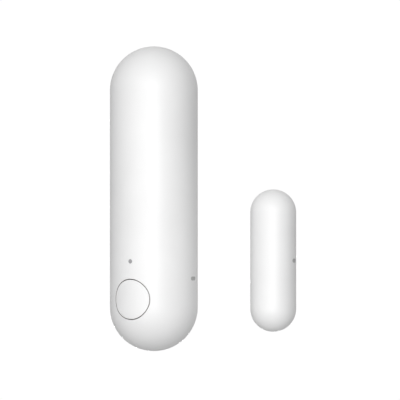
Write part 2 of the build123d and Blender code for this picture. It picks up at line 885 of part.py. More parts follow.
# ---- Small parts on the board ----
capacitor_points = [(-4.6, -10.5), (-4.6, -14.5), (4.6, -10.5), (4.6, -14.5), (-5.6, -20.0), (6.6, -38.6)]
resistor_points = [(3.4, -19.5), (3.4, -22.0), (-3.4, -22.0), (-6.4, -24.2), (0, -8.0), (-6.6, -38.6)]
front_pieces = {
    "status_led": (light_point, 1.6, 0.8, 0.7, 1),
    "microcontroller": ([(0, -12.6)], 5.0, 5.0, 0.9, 1),
    "chip_capacitors": (capacitor_points, 1.6, 0.8, 0.8, 1),
    "chip_resistors": (resistor_points, 1.6, 0.8, 0.45, 1),
}
for name, (points, length, width, height, outwards) in front_pieces.items():
    chips = chip_row(points, length, width, height, board_front, outwards)
    chips.label = name
    export_step(chips, f"parts/{name}.step")

regulator_x = 1.6
regulator_z = -29.0
with BuildPart() as voltage_regulator:
    with BuildSketch(across(sensor_centre, board_rear)):
        with Locations((regulator_x, regulator_z)):
            Rectangle(1.4, 2.9)
    extrude(amount=-1.1)
    with BuildSketch(across(sensor_centre, board_rear)):
        with Locations((regulator_x + 0.95, regulator_z)):
            Rectangle(0.8, 0.4)
        with Locations((regulator_x - 0.95, regulator_z - 0.95), (regulator_x - 0.95, regulator_z + 0.95)):
            Rectangle(0.8, 0.4)
    extrude(amount=-0.25)
voltage_regulator.part.label = "voltage_regulator"
export_step(voltage_regulator.part, "parts/voltage_regulator.step")

# ---- Radio module on the back of the board, with its shield and helical antenna ----
module_x = -1.5
module_z = -16.5
module_width = 11.0
module_length = 13.0
module_thickness = 0.8
shield_z = -15.0
shield_width = 9.4
shield_length = 9.2
shield_height = 1.7
shield_sheet = 0.2
module_rear = board_rear - module_thickness
radio_module_board = chip_row(
    [(module_x, module_z)], module_width, module_length, module_thickness, board_rear, -1
)
radio_module_board.label = "radio_module_board"
export_step(radio_module_board, "parts/radio_module_board.step")

transceiver_chip = chip_row([(module_x, shield_z)], 4.0, 4.0, 0.85, module_rear, -1)
transceiver_chip.label = "transceiver_chip"
export_step(transceiver_chip, "parts/transceiver_chip.step")

crystal = chip_row([(module_x - 1.5, -21.4)], 3.2, 2.5, 0.7, module_rear, -1)
crystal.label = "crystal"
export_step(crystal, "parts/crystal.step")

with BuildPart() as radio_shield:
    with BuildSketch(across(sensor_centre, module_rear)):
        with Locations((module_x, shield_z)):
            RectangleRounded(shield_width, shield_length, 0.5)
    extrude(amount=-shield_height)
    with BuildSketch(across(sensor_centre, module_rear)):
        with Locations((module_x, shield_z)):
            Rectangle(shield_width - 2 * shield_sheet, shield_length - 2 * shield_sheet)
    extrude(amount=shield_sheet - shield_height, mode=Mode.SUBTRACT)
radio_shield.part.label = "radio_shield"
export_step(radio_shield.part, "parts/radio_shield.step")

antenna_x = -4.2
antenna_forward = 1.6
antenna_top = -25.0
antenna_radius = 1.7
antenna_wire = 0.3
antenna_pitch = 1.5
antenna_turns = 8
antenna_bottom = antenna_top - antenna_pitch * antenna_turns
antenna_plane = Plane(
    origin=(antenna_x, sensor_centre[1] - antenna_forward, antenna_bottom), z_dir=(0, 0, 1)
)
antenna_winding = coil(antenna_plane, antenna_wire, antenna_radius, antenna_pitch, antenna_turns)
antenna_legs = [
    (antenna_x + antenna_radius, antenna_bottom),
    (antenna_x + antenna_radius, antenna_top),
]
leg_bars = pins(sensor_centre, antenna_legs, antenna_wire, antenna_forward, board_rear)
with BuildPart() as antenna:
    add(antenna_winding)
    add(leg_bars)
antenna.part.label = "antenna"
export_step(antenna.part, "parts/antenna.step")

# ---- Magnet shell and the bar magnet inside it ----
bar_width = 6.0
bar_depth = 4.0
bar_length = 25.0
bar_front = 3.0
bar_gap = 0.05
rib_thickness = 1.0
rib_half_width = magnet_opening + 0.3
rib_rear = 0.0
support_z = 8.5
stop_z = bar_length / 2 + bar_gap + rib_thickness / 2
magnet_posts = posts(
    magnet_centre,
    magnet_peg_posts,
    magnet_post_radius,
    magnet_seam + 0.5,
    magnet_radius,
    magnet_wall,
    magnet_straight,
)
magnet_mid_wall = capsule(magnet_centre, magnet_radius - magnet_wall / 2, magnet_straight)
with BuildPart() as magnet_ribs:
    with BuildSketch(across(magnet_centre, rib_rear)):
        with Locations((0, support_z), (0, -support_z), (0, stop_z), (0, -stop_z)):
            Rectangle(2 * rib_half_width, rib_thickness)
    extrude(amount=magnet_radius)
    with BuildSketch(across(magnet_centre, rib_rear)):
        Rectangle(bar_width + 2 * bar_gap, bar_length + 2 * bar_gap)
    extrude(amount=bar_front + bar_gap - rib_rear, mode=Mode.SUBTRACT)
    add(magnet_mid_wall, mode=Mode.INTERSECT)
magnet_peg_hole = magnet_seam + cover_step + magnet_peg_reach + 0.4
magnet_mark = side_mark(
    magnet_centre, magnet_radius, magnet_straight, magnet_mark_start, magnet_mark_length, magnet_z
)
magnet_removals = [
    pins(
        magnet_centre,
        magnet_peg_posts,
        magnet_peg_radius + peg_clearance,
        magnet_seam,
        magnet_peg_hole,
    ),
    magnet_mark,
]
with BuildPart() as magnet_shell:
    add(magnet_outer)
    split(bisect_by=across(magnet_centre, magnet_seam), keep=Keep.TOP)
    add(magnet_seam_groove, mode=Mode.SUBTRACT)
    add(magnet_hollow, mode=Mode.SUBTRACT)
    add(magnet_posts)
    add(magnet_ribs.part)
    for removal in magnet_removals:
        add(removal, mode=Mode.SUBTRACT)
magnet_shell.part.label = "magnet_shell"
export_step(magnet_shell.part, "parts/magnet_shell.step")

with BuildPart() as bar_magnet:
    with BuildSketch(across(magnet_centre, bar_front - bar_depth)):
        Rectangle(bar_width, bar_length)
    extrude(amount=bar_depth)
    chamfer(bar_magnet.edges().filter_by(Axis.Z), 0.4)
bar_magnet.part.label = "bar_magnet"
export_step(bar_magnet.part, "parts/bar_magnet.step")
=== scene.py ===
import math
import random
import bmesh
import bpy
from mathutils import Matrix, Vector, noise


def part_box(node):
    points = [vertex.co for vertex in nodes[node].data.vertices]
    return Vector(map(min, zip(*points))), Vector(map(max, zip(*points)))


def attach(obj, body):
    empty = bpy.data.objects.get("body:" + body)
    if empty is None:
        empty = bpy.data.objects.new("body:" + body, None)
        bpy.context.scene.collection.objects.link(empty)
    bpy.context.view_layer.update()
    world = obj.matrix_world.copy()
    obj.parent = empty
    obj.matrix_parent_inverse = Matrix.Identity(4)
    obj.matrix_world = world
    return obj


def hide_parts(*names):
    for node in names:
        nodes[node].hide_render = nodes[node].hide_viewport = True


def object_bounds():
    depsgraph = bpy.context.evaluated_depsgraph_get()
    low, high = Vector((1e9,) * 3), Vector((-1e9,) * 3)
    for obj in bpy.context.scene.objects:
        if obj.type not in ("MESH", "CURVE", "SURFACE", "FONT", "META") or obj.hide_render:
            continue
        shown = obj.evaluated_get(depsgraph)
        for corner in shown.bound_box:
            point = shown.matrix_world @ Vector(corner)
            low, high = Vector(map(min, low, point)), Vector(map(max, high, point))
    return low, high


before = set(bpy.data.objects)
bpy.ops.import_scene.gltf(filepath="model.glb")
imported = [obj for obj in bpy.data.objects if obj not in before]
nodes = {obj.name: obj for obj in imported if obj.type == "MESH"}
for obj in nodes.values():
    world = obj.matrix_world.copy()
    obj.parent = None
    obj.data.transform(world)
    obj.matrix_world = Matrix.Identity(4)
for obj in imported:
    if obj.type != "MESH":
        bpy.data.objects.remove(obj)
cad_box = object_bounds()
random.seed(7)

MM = 0.001


# ---- Material building ----
class Shader:
    """A Principled material with helpers that wire procedural detail into it. Sizes are in millimetres."""

    def __init__(self, name, metallic=0.0, **fixed):
        self.material = bpy.data.materials.new(name)
        self.material.use_nodes = True
        self.tree = self.material.node_tree
        self.tree.nodes.clear()
        output = self.tree.nodes.new("ShaderNodeOutputMaterial")
        self.bsdf = self.tree.nodes.new("ShaderNodeBsdfPrincipled")
        self.tree.links.new(self.bsdf.outputs["BSDF"], output.inputs["Surface"])
        self.bsdf.inputs["Metallic"].default_value = metallic
        for socket, value in fixed.items():
            self.bsdf.inputs[socket.replace("_", " ")].default_value = value
        self.coordinates = self.tree.nodes.new("ShaderNodeTexCoord").outputs["Object"]
        self.bumps = []

    def link(self, a, b):
        self.tree.links.new(a, b)

    def fill(self, sockets, values):
        """Gives each socket a number, a vector or a link."""
        for socket, value in zip(sockets, values):
            if isinstance(value, bpy.types.NodeSocket):
                self.link(value, socket)
            else:
                socket.default_value = value

    def scaled(self, stretch):
        """Object coordinates stretched along each axis."""
        mapping = self.tree.nodes.new("ShaderNodeMapping")
        mapping.inputs["Scale"].default_value = stretch
        self.link(self.coordinates, mapping.inputs["Vector"])
        return mapping.outputs["Vector"]

    def place(self, origin=(0, 0, 0)):
        """The x, y and z distances from a point, in millimetres."""
        moved = self.tree.nodes.new("ShaderNodeVectorMath")
        moved.operation = "SUBTRACT"
        self.fill(moved.inputs, (self.coordinates, origin))
        grown = self.tree.nodes.new("ShaderNodeVectorMath")
        grown.operation = "SCALE"
        self.link(moved.outputs["Vector"], grown.inputs[0])
        grown.inputs["Scale"].default_value = 1 / MM
        parts = self.tree.nodes.new("ShaderNodeSeparateXYZ")
        self.link(grown.outputs["Vector"], parts.inputs[0])
        return tuple(parts.outputs)

    def facing(self, axis):
        """How far the surface faces along an axis, either way, from 0 to 1."""
        parts = self.tree.nodes.new("ShaderNodeSeparateXYZ")
        self.link(self.tree.nodes.new("ShaderNodeNewGeometry").outputs["Normal"], parts.inputs[0])
        return self.math("ABSOLUTE", parts.outputs[axis], 0)

    def noise(self, size, detail=2.0, roughness=0.5, stretch=(1, 1, 1), distortion=0.0):
        """Noise from 0 to 1 with features about size millimetres across."""
        node = self.tree.nodes.new("ShaderNodeTexNoise")
        node.inputs["Scale"].default_value = 1 / (size * MM)
        node.inputs["Detail"].default_value = detail
        node.inputs["Roughness"].default_value = roughness
        node.inputs["Distortion"].default_value = distortion
        self.link(self.scaled(stretch), node.inputs["Vector"])
        return node.outputs["Fac"]

    def cells(self, size, feature="F1", stretch=(1, 1, 1)):
        """Distances in a Voronoi pattern with cells about size millimetres across."""
        node = self.tree.nodes.new("ShaderNodeTexVoronoi")
        node.feature = feature
        node.inputs["Scale"].default_value = 1 / (size * MM)
        self.link(self.scaled(stretch), node.inputs["Vector"])
        return node.outputs["Distance"]

    def remap(self, value, low, high, to_low=0.0, to_high=1.0):
        """value from low..high to to_low..to_high, held at the ends."""
        node = self.tree.nodes.new("ShaderNodeMapRange")
        self.fill(node.inputs, (value, low, high, to_low, to_high))
        return node.outputs["Result"]

    def band(self, value, low, high, soft=0.02):
        """1 where value lies between two limits, and 0 elsewhere."""
        rising = self.remap(value, low - soft, low + soft)
        falling = self.remap(value, high - soft, high + soft, 1.0, 0.0)
        return self.math("MULTIPLY", rising, falling)

    def blend(self, factor, first, second):
        """A colour between two colours, either of which may be a socket."""
        node = self.tree.nodes.new("ShaderNodeMix")
        node.data_type = "RGBA"
        opaque = [(*c, 1) if isinstance(c, tuple) else c for c in (first, second)]
        self.fill((node.inputs["Factor"], node.inputs[6], node.inputs[7]), (factor, *opaque))
        return node.outputs[2]

    def math(self, operation, a, b):
        node = self.tree.nodes.new("ShaderNodeMath")
        node.operation = operation
        self.fill(node.inputs, (a, b))
        return node.outputs["Value"]

    def product(self, *values):
        """The values multiplied together."""
        total = values[0]
        for value in values[1:]:
            total = self.math("MULTIPLY", total, value)
        return total

    def colour(self, socket):
        self.link(socket, self.bsdf.inputs["Base Color"])

    def roughness(self, socket):
        self.link(socket, self.bsdf.inputs["Roughness"])

    def bump(self, height, depth, strength=1.0):
        """Relief of depth millimetres from a height between 0 and 1, on top of any before it."""
        node = self.tree.nodes.new("ShaderNodeBump")
        node.inputs["Strength"].default_value = strength
        node.inputs["Distance"].default_value = depth * MM
        self.link(height, node.inputs["Height"])
        if self.bumps:
            self.link(self.bumps[-1].outputs["Normal"], node.inputs["Normal"])
        self.bumps.append(node)
        self.link(node.outputs["Normal"], self.bsdf.inputs["Normal"])


def shade(colour, amount):
    """colour made lighter or darker by a share of itself."""
    return tuple(min(1.0, c * (1 + amount)) for c in colour)


def moulded(s, colour, rough, grain=0.12, relief=0.004, vary=0.015, wear=0.06):
    """Moulded plastic: an eroded-tool grain, slow waviness, faint clouding and fine handling scuffs."""
    cloud = s.noise(14, detail=3)
    tint = s.blend(s.remap(cloud, 0.3, 0.7), shade(colour, -vary), shade(colour, vary))
    dust = s.remap(s.noise(0.9, detail=4, roughness=0.7), 0.62, 0.8)
    dusty = s.blend(s.math("MULTIPLY", dust, 0.35), tint, shade(colour, -3 * vary))
    s.colour(dusty)
    scuff = s.remap(s.noise(0.7, detail=3, stretch=(1, 1, 0.06), distortion=0.3), 0.6, 0.75)
    patch = s.remap(s.noise(9, detail=2), 0.45, 0.65)
    worn = s.product(scuff, patch, -wear)
    base = s.remap(s.noise(2.4, detail=4), 0.3, 0.7, rough - 0.03, rough + 0.03)
    s.roughness(s.math("ADD", base, worn))
    s.bump(s.noise(25, detail=1), 0.02, 0.5)
    s.bump(s.noise(grain, detail=3, roughness=0.6), relief)
    return dusty


def moulded_plastic(name, colour, rough, grain=0.12, relief=0.004, vary=0.015, wear=0.06, **fixed):
    s = Shader(name, **fixed)
    moulded(s, colour, rough, grain, relief, vary, wear)
    return s.material


def painted_gap_shade(s, surface, centre, low, high):
    """The surface colour with painted shade, a darker grey, on what lies between two distances from a
    front-to-back line.
    """
    x, y, z = s.place(centre)
    distance = s.math("SQRT", s.math("ADD", s.math("MULTIPLY", x, x), s.math("MULTIPLY", z, z)), 0)
    # Painted shade: where the darker grey goes, varied a little by noise
    shade_mask = s.product(s.band(distance, low, high), s.remap(s.noise(0.5, detail=3), 0.2, 0.5, 0.75, 1.0))
    return s.blend(shade_mask, surface, GAP_SHADE)


def button_plastic(name, colour, rough, **fixed):
    """The cap's white plastic, with painted shade on its sides, in the gap round it."""
    s = Shader(name, **fixed)
    surface = moulded(s, colour, rough, grain=0.1)
    outermost = 20
    # Painted shade on the cap's side wall and flange, from just inside its rim outward
    s.colour(painted_gap_shade(s, surface, button_centre, button_radius / MM - 0.04, outermost))
    return s.material


def shell_plastic(name, colour, rough, marks, paint, **fixed):
    """The shells' white plastic, with painted shade in the button's hole and grey paint in the sunk side
    marks.
    """
    s = Shader(name, **fixed)
    surface = moulded(s, colour, rough)
    innermost = -1
    # Painted shade on the walls of the button's hole
    surface = painted_gap_shade(s, surface, button_centre, innermost, button_radius / MM + 0.3)
    painted = None
    for axis, radius, height in marks:
        x, y, z = s.place(axis)
        distance = s.math("SQRT", s.math("ADD", s.math("MULTIPLY", x, x), s.math("MULTIPLY", y, y)), 0)
        sunk = s.band(distance, radius - 0.3, radius - 0.06, 0.02)
        here = s.product(sunk, s.band(z, height - 0.8, height + 0.8), s.band(x, radius / 3, radius))
        painted = here if painted is None else s.math("MAXIMUM", painted, here)
    worn_paint = s.blend(s.remap(s.noise(0.25, detail=3), 0.35, 0.65), paint, shade(paint, 0.12))
    s.colour(s.blend(painted, surface, worn_paint))
    return s.material


def metal(name, colour, rough, lay=(1, 1, 1), relief=0.003, tarnish=0.12, grain=0.25):
    """Metal with a directional finish, fine scratches and patchy tarnish."""
    s = Shader(name, metallic=1.0)
    lines = s.noise(grain, detail=3, roughness=0.65, stretch=lay)
    patch = s.remap(s.noise(4, detail=3), 0.4, 0.7)
    dull = s.blend(patch, colour, shade(colour, -tarnish))
    s.colour(s.blend(s.remap(lines, 0.3, 0.7), dull, shade(colour, 0.06)))
    grainy = s.remap(lines, 0.3, 0.7, rough - 0.06, rough + 0.08)
    s.roughness(s.math("ADD", grainy, s.math("MULTIPLY", patch, 0.1)))
    s.bump(lines, relief)
    scratches = s.remap(s.noise(0.5, detail=2, stretch=(0.08, 1, 1), distortion=0.5), 0.68, 0.72)
    s.bump(scratches, relief * 0.6, 0.6)
    return s.material


def solder_mask(name, mask, laminate, pour):
    """A circuit board: glossy mask over copper areas, fine glass weave and bare laminate at its cut edges."""
    s = Shader(name, Coat_Weight=0.35, Coat_Roughness=0.18)
    x, y, z = s.place()
    flat = s.tree.nodes.new("ShaderNodeCombineXYZ")
    s.fill(flat.inputs, (x, z, 0.0))
    areas = s.tree.nodes.new("ShaderNodeTexBrick")
    areas.inputs["Scale"].default_value = 1 / pour
    areas.inputs["Mortar Size"].default_value = 0.035
    areas.inputs["Mortar Smooth"].default_value = 0.3
    areas.inputs["Brick Width"].default_value = 0.9
    areas.inputs["Row Height"].default_value = 0.55
    s.link(flat.outputs[0], areas.inputs["Vector"])
    gap = areas.outputs["Fac"]
    weave = s.math("MULTIPLY", s.noise(0.35, stretch=(6, 1, 1)), s.noise(0.35, stretch=(1, 1, 6)))
    over_copper = s.blend(s.remap(weave, 0.1, 0.4), mask, shade(mask, 0.25))
    masked = s.blend(gap, over_copper, shade(mask, -0.45))
    layers = s.remap(s.noise(0.2, detail=2, stretch=(0.2, 4, 0.2)), 0.35, 0.65)
    edge = s.blend(layers, shade(laminate, -0.2), shade(laminate, 0.1))
    s.colour(s.blend(s.remap(s.facing("Y"), 0.4, 0.6), edge, masked))
    s.roughness(s.remap(s.noise(1.6, detail=3), 0.3, 0.7, 0.28, 0.42))
    s.bump(s.math("SUBTRACT", 1.0, gap), 0.03)
    s.bump(weave, 0.006, 0.6)
    return s.material


def shrink_sleeve(name, colour, stripe):
    """A battery's shrunk plastic sleeve: glossy, with a plain stripe and fine wrinkles towards its ends."""
    low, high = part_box("cell_sleeve")
    s = Shader(name, Coat_Weight=0.5, Coat_Roughness=0.12)
    x, y, z = s.place(((low.x + high.x) / 2, (low.y + high.y) / 2, low.z))
    length = (high.z - low.z) / MM
    ring = s.band(z, length - 7.5, length - 5.5, 0.05)
    mottled = s.blend(s.remap(s.noise(3, detail=3), 0.3, 0.7), colour, shade(colour, 0.2))
    s.colour(s.blend(ring, mottled, stripe))
    s.roughness(s.remap(s.noise(2.5, detail=2), 0.3, 0.7, 0.22, 0.3))
    near_end = s.remap(s.math("ABSOLUTE", s.math("SUBTRACT", z, length / 2), 0), length / 2 - 3, length / 2)
    wrinkles = s.noise(0.7, detail=3, stretch=(1, 1, 0.15), distortion=0.6)
    s.bump(s.math("MULTIPLY", wrinkles, near_end), 0.06)
    s.bump(s.noise(7, detail=1), 0.03, 0.3)
    return s.material


def rolled_layers(name, foil, paste, axis):
    """Foil and paste wound in a roll: fine rings about an upright axis."""
    s = Shader(name)
    x, y, z = s.place(axis)
    radius = s.math("SQRT", s.math("ADD", s.math("MULTIPLY", x, x), s.math("MULTIPLY", y, y)), 0)
    winding = s.math("FRACT", s.math("MULTIPLY", radius, 2.6), 0)
    s.colour(s.blend(s.band(winding, 0.3, 0.55, 0.08), paste, foil))
    s.roughness(s.remap(s.noise(0.6, detail=4), 0.3, 0.7, 0.5, 0.75))
    s.bump(winding, 0.05)
    s.bump(s.noise(0.2, detail=4), 0.02)
    return s.material


def tinted_glass(name, colour):
    """A drawn glass tube with faint draw lines."""
    s = Shader(name, Transmission_Weight=0.92, IOR=1.5)
    s.colour(s.blend(s.remap(s.noise(2.5), 0.35, 0.65), colour, shade(colour, 0.15)))
    s.roughness(s.remap(s.noise(1.5, detail=3), 0.3, 0.7, 0.02, 0.07))
    s.bump(s.noise(0.6, detail=2, stretch=(1, 1, 0.1)), 0.01, 0.5)
    return s.material


def foam(name, colour, pore, depth, rough, skin=0.0, skin_axis="Y"):
    """Foam with pores on its cut sides, their hollows darkened with painted shade; skin from 0 to 1 fills
    them on the faces along skin_axis.
    """
    s = Shader(name)
    pores = s.remap(s.cells(pore, "F1"), 0.15, 0.6)
    fine = s.remap(s.cells(pore * 0.4, "F1"), 0.1, 0.6)
    open_cells = s.math("MULTIPLY", pores, s.math("ADD", s.math("MULTIPLY", fine, 0.5), 0.5))
    closed = s.math("MULTIPLY", s.remap(s.facing(skin_axis), 0.7, 0.95), skin)
    height = s.math("MAXIMUM", open_cells, closed)
    cloud = s.noise(6, detail=3)
    tint = s.blend(s.remap(cloud, 0.3, 0.7), shade(colour, -0.05), shade(colour, 0.05))
    # Painted shade: the pores' hollows are coloured darker, following the bump's depth
    s.colour(s.blend(height, shade(colour, -0.35), tint))
    tacky = s.remap(s.noise(2.2, detail=4), 0.35, 0.65, 0.0, 0.16)
    s.roughness(s.math("SUBTRACT", rough, s.math("MULTIPLY", closed, s.math("ADD", tacky, 0.22))))
    s.bump(height, depth)
    s.bump(s.noise(1.1, detail=4, roughness=0.6), 0.03, 0.5)
    return s.material


# ---- Shape building ----
class Shapes:
    """Collects shapes into one mesh. Each shape takes one of the mesh's materials by its number."""

    def __init__(self):
        self.mesh = bmesh.new()

    def take(self, shape, material=0):
        for face in shape.faces:
            face.material_index = material
        carried = bpy.data.meshes.new("shape")
        shape.to_mesh(carried)
        shape.free()
        self.mesh.from_mesh(carried)
        bpy.data.meshes.remove(carried)

    def block(self, low, high, edge=0.0, material=0):
        """A block between two corners, with rounded edges."""
        shape = bmesh.new()
        bmesh.ops.create_cube(shape, size=1)
        middle = (Vector(low) + Vector(high)) / 2
        for vertex in shape.verts:
            vertex.co = Vector(a * (h - b) for a, h, b in zip(vertex.co, high, low)) + middle
        if edge:
            bmesh.ops.bevel(
                shape, geom=shape.edges[:], offset=edge, segments=3, profile=0.5, affect="EDGES"
            )
        self.take(shape, material)

    def turned(self, origin, outward, profile, material=0, around=24):
        """A shape turned about a line from origin along outward, from the (radius, height) of its profile."""
        shape = bmesh.new()
        across = Vector(outward).orthogonal().normalized()
        previous = None
        for radius, height in profile:
            level = Vector(origin) + Vector(outward) * height
            if radius < 1e-7:
                ring = [shape.verts.new(level)]
            else:
                spokes = [
                    Matrix.Rotation(math.tau * k / around, 3, Vector(outward)) @ across
                    for k in range(around)
                ]
                ring = [shape.verts.new(level + spoke * radius) for spoke in spokes]
            if previous:
                self.join(shape, previous, ring)
            previous = ring
        bmesh.ops.recalc_face_normals(shape, faces=shape.faces[:])
        self.take(shape, material)

    @staticmethod
    def join(shape, first, second):
        """Faces between two rings, either of which may be a single point."""
        count = max(len(first), len(second))
        for k in range(count):
            corners = [first[k % len(first)], first[(k + 1) % len(first)]]
            corners += [second[(k + 1) % len(second)], second[k % len(second)]]
            corners = list(dict.fromkeys(corners))
            if len(corners) > 2:
                shape.faces.new(corners)

    def finish(self, name, body, materials, slot, replaced=(), sharp=35):
        """Makes the object, which rides on a body and stands for the replaced CAD nodes."""
        data = bpy.data.meshes.new(name)
        self.mesh.to_mesh(data)
        self.mesh.free()
        for material in materials:
            data.materials.append(material)
        for face in data.polygons:
            face.use_smooth = True
        data.set_sharp_from_angle(angle=math.radians(sharp))
        made = bpy.data.objects.new(name, data)
        bpy.context.scene.collection.objects.link(made)
        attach(made, body)
        if replaced:
            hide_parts(*replaced)
        return made


def solids_in(node):
    """The low and high corners of each separate solid in a CAD node, from the lowest up."""
    copy = bmesh.new()
    copy.from_mesh(nodes[node].data)
    bmesh.ops.remove_doubles(copy, verts=copy.verts[:], dist=1e-6)
    waiting, found = set(copy.verts), []
    while waiting:
        group, edge_of_group = set(), [waiting.pop()]
        while edge_of_group:
            vertex = edge_of_group.pop()
            group.add(vertex)
            linked = {edge.other_vert(vertex) for edge in vertex.link_edges} & waiting
            waiting -= linked
            edge_of_group += linked
        places = [vertex.co for vertex in group]
        low = Vector(min(p[i] for p in places) for i in range(3))
        high = Vector(max(p[i] for p in places) for i in range(3))
        found.append((low, high))
    copy.free()
    return sorted(found, key=lambda pair: (round(pair[0].z, 5), round(pair[0].x, 5)))


# ---- Materials of the CAD pieces ----
sensor_low, sensor_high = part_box("front_shell")
sensor_radius = (sensor_high.x - sensor_low.x) / 2
sensor_axis = Vector((0, sensor_low.y + sensor_radius, (sensor_low.z + sensor_high.z) / 2))
magnet_low, magnet_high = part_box("magnet_shell")
magnet_radius = (magnet_high.x - magnet_low.x) / 2
magnet_axis = Vector(
    ((magnet_low.x + magnet_high.x) / 2, magnet_low.y + magnet_radius, (magnet_low.z + magnet_high.z) / 2)
)
reed_low, reed_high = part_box("reed_glass")
MARKS = [
    (sensor_axis, sensor_radius / MM, (reed_low.z + reed_high.z) / 2 / MM),
    (magnet_axis, magnet_radius / MM, 0.0),
]
button_low, button_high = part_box("button_cap")
button_centre = (button_low + button_high) / 2
BUTTON_FLANGE = 1.18 * MM  # how far the flange behind the shell stands out from the cap's side
button_radius = (button_high.x - button_low.x) / 2 - BUTTON_FLANGE
WHITE = (0.83, 0.83, 0.83)
# Painted shade: the grey for the walls of the gap round the button
GAP_SHADE = (0.60, 0.59, 0.58)
MARK_PAINT = (0.44, 0.44, 0.44)
NICKEL = (0.72, 0.70, 0.66)
STEEL = (0.60, 0.60, 0.60)

shell_white = shell_plastic("shell_white", WHITE, 0.46, MARKS, MARK_PAINT, IOR=1.46)
button_white = button_plastic("button_white", WHITE, 0.44, IOR=1.46)
cover_white = moulded_plastic("cover_white", (0.80, 0.80, 0.80), 0.5, grain=0.16, relief=0.006, IOR=1.46)
pipe_grey = moulded_plastic("pipe_grey", (0.37, 0.37, 0.38), 0.3, grain=0.2, relief=0.001, IOR=1.58)
carrier_plastic = moulded_plastic(
    "carrier_plastic", (0.70, 0.69, 0.66), 0.55, grain=0.3, relief=0.01, vary=0.03, wear=0.1
)
black_plastic = moulded_plastic(
    "black_plastic", (0.025, 0.025, 0.027), 0.58, grain=0.06, relief=0.006, vary=0.1
)
gasket_plastic = moulded_plastic("gasket_plastic", (0.04, 0.04, 0.045), 0.65, grain=0.2, vary=0.1)
screw_steel = metal("screw_steel", STEEL, 0.3, lay=(1, 0.1, 1), relief=0.004, tarnish=0.2)
brushed_cover = metal("brushed_cover", (0.68, 0.68, 0.67), 0.28, lay=(0.08, 1, 1), relief=0.002)
plated = metal("plated", NICKEL, 0.26, lay=(1, 1, 0.25), relief=0.002, tarnish=0.15, grain=0.4)
spring_wire = metal("spring_wire", NICKEL, 0.22, lay=(1, 1, 3), relief=0.004, tarnish=0.25)
shield_tin = metal("shield_tin", (0.74, 0.73, 0.70), 0.34, lay=(1, 1, 0.12), relief=0.002, tarnish=0.1)
copper_wire = metal("copper_wire", (0.72, 0.36, 0.20), 0.3, lay=(1, 1, 3), relief=0.004, tarnish=0.2)
reed_metal = metal("reed_metal", (0.58, 0.57, 0.54), 0.34, lay=(1, 1, 0.1), relief=0.002, tarnish=0.2)
can_steel = metal("can_steel", (0.70, 0.69, 0.66), 0.24, lay=(1, 1, 8), relief=0.002, tarnish=0.1)
magnet_nickel = metal("magnet_nickel", (0.66, 0.65, 0.62), 0.2, lay=(1, 1, 1), relief=0.006, grain=0.6)
solder_tin = metal("solder_tin", (0.70, 0.70, 0.69), 0.24, lay=(1, 1, 1), relief=0.008, grain=0.35)
gold_pad = metal("gold_pad", (0.83, 0.62, 0.28), 0.3, lay=(1, 1, 1), relief=0.003, tarnish=0.08)
board_green = solder_mask("board_green", (0.018, 0.15, 0.06), (0.42, 0.36, 0.20), 3.1)
board_blue = solder_mask("board_blue", (0.012, 0.04, 0.12), (0.36, 0.32, 0.20), 1.9)
glass = tinted_glass("glass", (0.55, 0.80, 0.62))
cell_centre = (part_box("cell_can")[0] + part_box("cell_can")[1]) / 2
sleeve = shrink_sleeve("sleeve", (0.06, 0.075, 0.11), (0.55, 0.56, 0.58))
roll = rolled_layers("roll", (0.35, 0.34, 0.33), (0.04, 0.04, 0.045), cell_centre)

FINISHES = [
    (shell_white, ["front_shell", "magnet_shell"]),
    (button_white, ["button_cap"]),
    (cover_white, ["rear_cover", "magnet_rear_cover"]),
    (pipe_grey, ["light_pipe"]),
    (carrier_plastic, ["battery_carrier"]),
    (black_plastic, ["tact_switch_base", "tact_switch_plunger"]),
    (gasket_plastic, ["cell_gasket"]),
    (screw_steel, ["chassis_screws"]),
    (brushed_cover, ["tact_switch_cover"]),
    (plated, ["positive_contact", "negative_contact", "tact_switch_terminals", "tact_switch_dome"]),
    (spring_wire, ["negative_spring"]),
    (shield_tin, ["radio_shield"]),
    (copper_wire, ["antenna"]),
    (reed_metal, ["reed_fixed_lead", "reed_moving_lead", "reed_moving_blade"]),
    (can_steel, ["cell_can", "cell_positive_cap"]),
    (magnet_nickel, ["bar_magnet"]),
    (board_green, ["circuit_board"]),
    (board_blue, ["radio_module_board"]),
    (glass, ["reed_glass"]),
    (sleeve, ["cell_sleeve"]),
    (roll, ["cell_electrode_roll"]),
]
for finish, names in FINISHES:
    for name in names:
        nodes[name].data.materials.clear()
        nodes[name].data.materials.append(finish)

# ---- Small parts on the boards, each with its own ends, legs and pads ----
capacitor_body = moulded_plastic("capacitor_body", (0.36, 0.25, 0.16), 0.4, grain=0.08, vary=0.08)
resistor_body = moulded_plastic("resistor_body", (0.03, 0.03, 0.035), 0.3, grain=0.15, vary=0.1)
resistor_ceramic = moulded_plastic("resistor_ceramic", (0.72, 0.71, 0.68), 0.5, grain=0.08)
led_body = moulded_plastic("led_body", (0.78, 0.78, 0.76), 0.45, grain=0.1)
led_lens = moulded_plastic("led_lens", (0.80, 0.66, 0.22), 0.2, grain=0.2, relief=0.001)
chip_mark = moulded_plastic("chip_mark", (0.30, 0.30, 0.30), 0.7, grain=0.05)
print_white = moulded_plastic("print_white", (0.78, 0.78, 0.76), 0.6, grain=0.08, relief=0.006)

board_low, board_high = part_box("circuit_board")
module_low, module_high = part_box("radio_module_board")
FRONT, REAR = -1, 1


def ends(shapes, low, high, cap, edge, material):
    """Metal end caps on a chip that lies along X, a hair outside its body."""
    hair = Vector((0, edge / 4, edge / 4))
    for start, stop in ((low.x, low.x + cap), (high.x - cap, high.x)):
        shapes.block((start, *(low - hair)[1:]), (stop, *(high + hair)[1:]), edge, material)


def chip_capacitors():
    shapes = Shapes()
    for low, high in solids_in("chip_capacitors"):
        inset = Vector((0.08, 0.02, 0.02)) * MM
        shapes.block(low + inset, high - inset, 0.06 * MM, 0)
        ends(shapes, low, high, 0.32 * MM, 0.07 * MM, 1)
    shapes.finish(
        "capacitors", "sensor_body", [capacitor_body, solder_tin], "capacitor", ["chip_capacitors"]
    )


